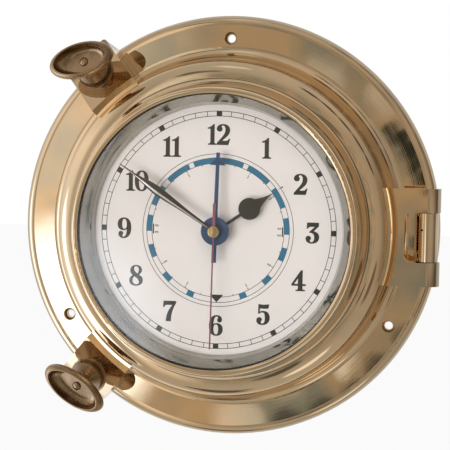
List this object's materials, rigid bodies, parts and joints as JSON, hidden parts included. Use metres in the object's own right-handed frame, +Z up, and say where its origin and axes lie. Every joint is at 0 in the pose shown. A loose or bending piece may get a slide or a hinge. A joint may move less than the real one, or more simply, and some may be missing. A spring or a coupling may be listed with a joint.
{
  "type": "tide clock",
  "caption": "Round porthole-style wall clock with a hinged glazed door, turning dogs, and coupled hour, minute, second and tide hands over a white dial.",
  "frame": {"origin": "centre of the wall screw circle, on the flange's back face", "axes": "+Z up towards twelve o'clock, dial faces -Y, +X towards the hinge at three o'clock"},
  "size_m": [0.2331, 0.0566, 0.2324],
  "materials": {
    "polished_brass": "polished, lightly worn",
    "aged_brass": "handled, darkened",
    "turned_brass": "turned",
    "nickel_plate": "polished plating",
    "spun_aluminium": "spun, satin",
    "plated_steel": "zinc plated",
    "dark_steel": "blackened",
    "copper_wire": "enamelled winding",
    "dial_white": "matt white paint",
    "black_paint": "gloss paint",
    "blue_paint": "gloss paint",
    "plum_paint": "gloss paint",
    "clear_glass": "clear, flat",
    "black_rubber": "matt",
    "movement_plastic": "moulded",
    "gear_plastic": "moulded acetal",
    "battery_wrap": "shrink film over steel",
    "board_green": "laminate"
  },
  "bodies": {
    "root": {"porthole_flange": "polished_brass", "hinge_pin": "polished_brass", "dial_can": "spun_aluminium", "can_screws": "plated_steel", "dial_plate": "dial_white", "dial_washer": "dark_steel", "bush_nut": "dark_steel", "centre_bush": "turned_brass", "rubber_washer": "black_rubber", "movement_front_case": "movement_plastic", "movement_rear_case": "movement_plastic", "gear_plate": "movement_plastic", "battery_cell": "battery_wrap", "battery_contact_positive": "plated_steel", "battery_contact_negative": "plated_steel", "motor_coil": "copper_wire", "motor_stator": "plated_steel", "circuit_board": "board_green", "quartz_crystal": "plated_steel"},
    "door": {"door_ring": "polished_brass", "door_gasket": "black_rubber", "bezel_ring": "polished_brass", "glass_lens": "clear_glass", "lens_gasket": "black_rubber", "reflector_ring": "nickel_plate"},
    "upper_dog": {"upper_dog_knob": "aged_brass", "upper_dog_bolt": "aged_brass", "upper_dog_washer": "aged_brass"},
    "lower_dog": {"lower_dog_knob": "aged_brass", "lower_dog_bolt": "aged_brass", "lower_dog_washer": "aged_brass"},
    "seconds_train": {"second_wheel": "gear_plastic", "second_hand": "plum_paint", "centre_cap": "turned_brass"},
    "third_train": {"third_wheel": "gear_plastic"},
    "minute_train": {"minute_wheel": "gear_plastic", "minute_hand": "black_paint"},
    "motion_train": {"motion_wheel": "gear_plastic"},
    "hour_train": {"hour_wheel": "gear_plastic", "hour_hand": "black_paint"},
    "idler_train": {"tide_idler": "gear_plastic"},
    "tide_train": {"tide_wheel": "gear_plastic", "tide_hand": "blue_paint"},
    "setting_train": {"set_shaft": "gear_plastic", "set_knob": "movement_plastic"}
  },
  "joints": [
    {"name": "door_hinge", "type": "hinge", "parent": "root", "child": "door", "pos_m": [0.11, -0.026, 0], "axis": [0, 0, 1], "range_deg": [0, 110]},
    {"name": "upper_dog_turn", "type": "hinge", "parent": "door", "child": "upper_dog", "pos_m": [-0.07103, -0.0265, 0.08465], "axis": [-0.2304, -0.9336, 0.2745], "range_deg": [0, 90]},
    {"name": "lower_dog_turn", "type": "hinge", "parent": "door", "child": "lower_dog", "pos_m": [-0.07293, -0.0265, -0.08301], "axis": [-0.2365, -0.9336, -0.2692], "range_deg": [0, 90]},
    {"name": "second_hand_spin", "type": "hinge", "parent": "root", "child": "seconds_train", "pos_m": [0, -0.028, 0], "axis": [0, 1, 0], "continuous": true},
    {"name": "third_wheel_spin", "type": "hinge", "parent": "root", "child": "third_train", "pos_m": [-0.00736, -0.028, 0.00425], "axis": [0, 1, 0], "continuous": true},
    {"name": "minute_hand_spin", "type": "hinge", "parent": "root", "child": "minute_train", "pos_m": [0, -0.028, 0], "axis": [0, 1, 0], "continuous": true},
    {"name": "motion_wheel_spin", "type": "hinge", "parent": "root", "child": "motion_train", "pos_m": [0.00727, -0.028, 0.0042], "axis": [0, 1, 0], "continuous": true},
    {"name": "hour_hand_spin", "type": "hinge", "parent": "root", "child": "hour_train", "pos_m": [0, -0.028, 0], "axis": [0, 1, 0], "continuous": true},
    {"name": "tide_idler_spin", "type": "hinge", "parent": "root", "child": "idler_train", "pos_m": [0, -0.028, 0.00946], "axis": [0, 1, 0], "continuous": true},
    {"name": "tide_hand_spin", "type": "hinge", "parent": "root", "child": "tide_train", "pos_m": [0, -0.028, 0], "axis": [0, 1, 0], "continuous": true},
    {"name": "set_knob_spin", "type": "hinge", "parent": "root", "child": "setting_train", "pos_m": [0.012, -0.028, 0.01238], "axis": [0, 1, 0], "continuous": true}
  ],
  "couplings": [
    {"joint": "third_wheel_spin", "follows": "second_hand_spin", "ratio": -0.13333},
    {"joint": "minute_hand_spin", "follows": "second_hand_spin", "ratio": 0.016667},
    {"joint": "motion_wheel_spin", "follows": "second_hand_spin", "ratio": -0.0055556},
    {"joint": "hour_hand_spin", "follows": "second_hand_spin", "ratio": 0.0013889},
    {"joint": "tide_idler_spin", "follows": "second_hand_spin", "ratio": -0.0027299},
    {"joint": "tide_hand_spin", "follows": "second_hand_spin", "ratio": 0.0013418},
    {"joint": "set_knob_spin", "follows": "second_hand_spin", "ratio": 0.011111}
  ]
}
